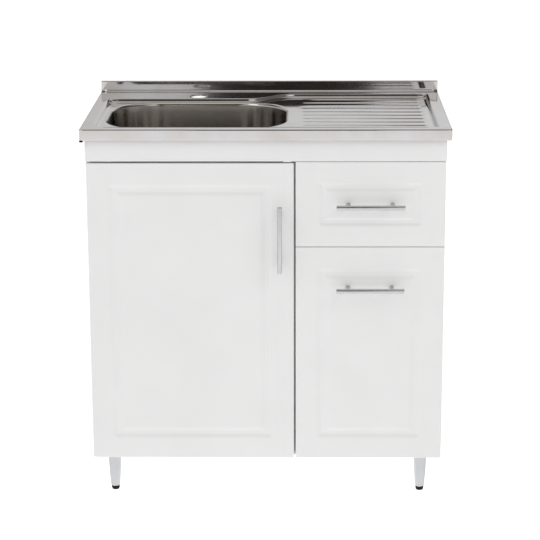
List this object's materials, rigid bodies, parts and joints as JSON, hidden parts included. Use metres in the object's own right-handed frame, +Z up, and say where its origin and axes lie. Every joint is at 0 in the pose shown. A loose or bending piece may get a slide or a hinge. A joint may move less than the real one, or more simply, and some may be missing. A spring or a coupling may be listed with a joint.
{
  "type": "kitchen sink unit",
  "caption": "White kitchen base cabinet on legs under a pressed steel sink top with bowl, drainer and upstand; hinged door, drawer and deep pull-out.",
  "frame": {"origin": "on the floor, under the middle of the outer box of the whole unit, handles included", "axes": "+Z up, +Y towards the wall behind, +X to the right for someone who faces the fronts"},
  "size_m": [0.8, 0.52, 0.865],
  "materials": {
    "stainless_steel": "pressed stainless sheet with a bright satin polish",
    "brushed_handle_steel": "brushed stainless bar",
    "zinc_plated_steel": "nickel-plated pressed steel",
    "foil_wrapped_mdf": "white vinyl foil over routed fibreboard, satin",
    "melamine_board": "white melamine-faced chipboard",
    "hardboard": "white-faced hardboard, 3 mm",
    "leg_plastic": "light grey moulded plastic",
    "black_rubber": "black rubber",
    "grey_rubber": "dark grey rubber",
    "grey_plastic": "dark grey moulded plastic",
    "painted_runner": "white epoxy-coated steel"
  },
  "bodies": {
    "cabinet": {"sink_top": "stainless_steel", "waste_body": "stainless_steel", "waste_gasket": "grey_rubber", "waste_locknut": "grey_plastic", "side_panel_left": "melamine_board", "side_panel_right": "melamine_board", "bottom_panel": "melamine_board", "back_rail": "melamine_board", "center_partition": "melamine_board", "apron_rail": "foil_wrapped_mdf", "back_panel": "hardboard", "corner_buffer": "black_rubber", "foot_front_left": "black_rubber", "foot_front_right": "black_rubber", "foot_rear_left": "black_rubber", "foot_rear_right": "black_rubber", "leg_front_left": "leg_plastic", "leg_front_right": "leg_plastic", "leg_rear_left": "leg_plastic", "leg_rear_right": "leg_plastic", "hinge_arm_lower": "zinc_plated_steel", "hinge_plate_lower": "zinc_plated_steel", "hinge_arm_upper": "zinc_plated_steel", "hinge_plate_upper": "zinc_plated_steel", "drawer_channel_left": "painted_runner", "drawer_channel_right": "painted_runner", "pullout_channel_left": "painted_runner", "pullout_channel_right": "painted_runner"},
    "door": {"door_left": "foil_wrapped_mdf", "door_handle_bar": "brushed_handle_steel", "door_handle_post_1": "brushed_handle_steel", "door_handle_post_2": "brushed_handle_steel", "hinge_cup_lower": "zinc_plated_steel", "hinge_cup_upper": "zinc_plated_steel", "hinge_pin_lower": "zinc_plated_steel", "hinge_pin_upper": "zinc_plated_steel"},
    "drawer": {"drawer_front": "foil_wrapped_mdf", "drawer_handle_bar": "brushed_handle_steel", "drawer_handle_post_1": "brushed_handle_steel", "drawer_handle_post_2": "brushed_handle_steel", "drawer_side_left": "melamine_board", "drawer_side_right": "melamine_board", "drawer_back": "melamine_board", "drawer_bottom": "hardboard", "drawer_runner_left": "painted_runner", "drawer_runner_right": "painted_runner"},
    "pullout": {"pullout_front": "foil_wrapped_mdf", "pullout_handle_bar": "brushed_handle_steel", "pullout_handle_post_1": "brushed_handle_steel", "pullout_handle_post_2": "brushed_handle_steel", "pullout_side_left": "melamine_board", "pullout_side_right": "melamine_board", "pullout_back": "melamine_board", "pullout_bottom": "hardboard", "pullout_runner_left": "painted_runner", "pullout_runner_right": "painted_runner"},
    "strainer": {"strainer_plate": "stainless_steel"}
  },
  "joints": [
    {"name": "door_hinge", "type": "hinge", "parent": "cabinet", "child": "door", "pos_m": [-0.381, -0.218, 0.4275], "axis": [0, 0, -1], "range_deg": [0, 95]},
    {"name": "drawer_slide", "type": "slide", "parent": "cabinet", "child": "drawer", "axis": [0, -1, 0], "range_m": [0, 0.3]},
    {"name": "pullout_slide", "type": "slide", "parent": "cabinet", "child": "pullout", "axis": [0, -1, 0], "range_m": [0, 0.3]},
    {"name": "strainer_lift", "type": "slide", "parent": "cabinet", "child": "strainer", "axis": [0, 0, 1], "range_m": [0, 0.06]}
  ]
}
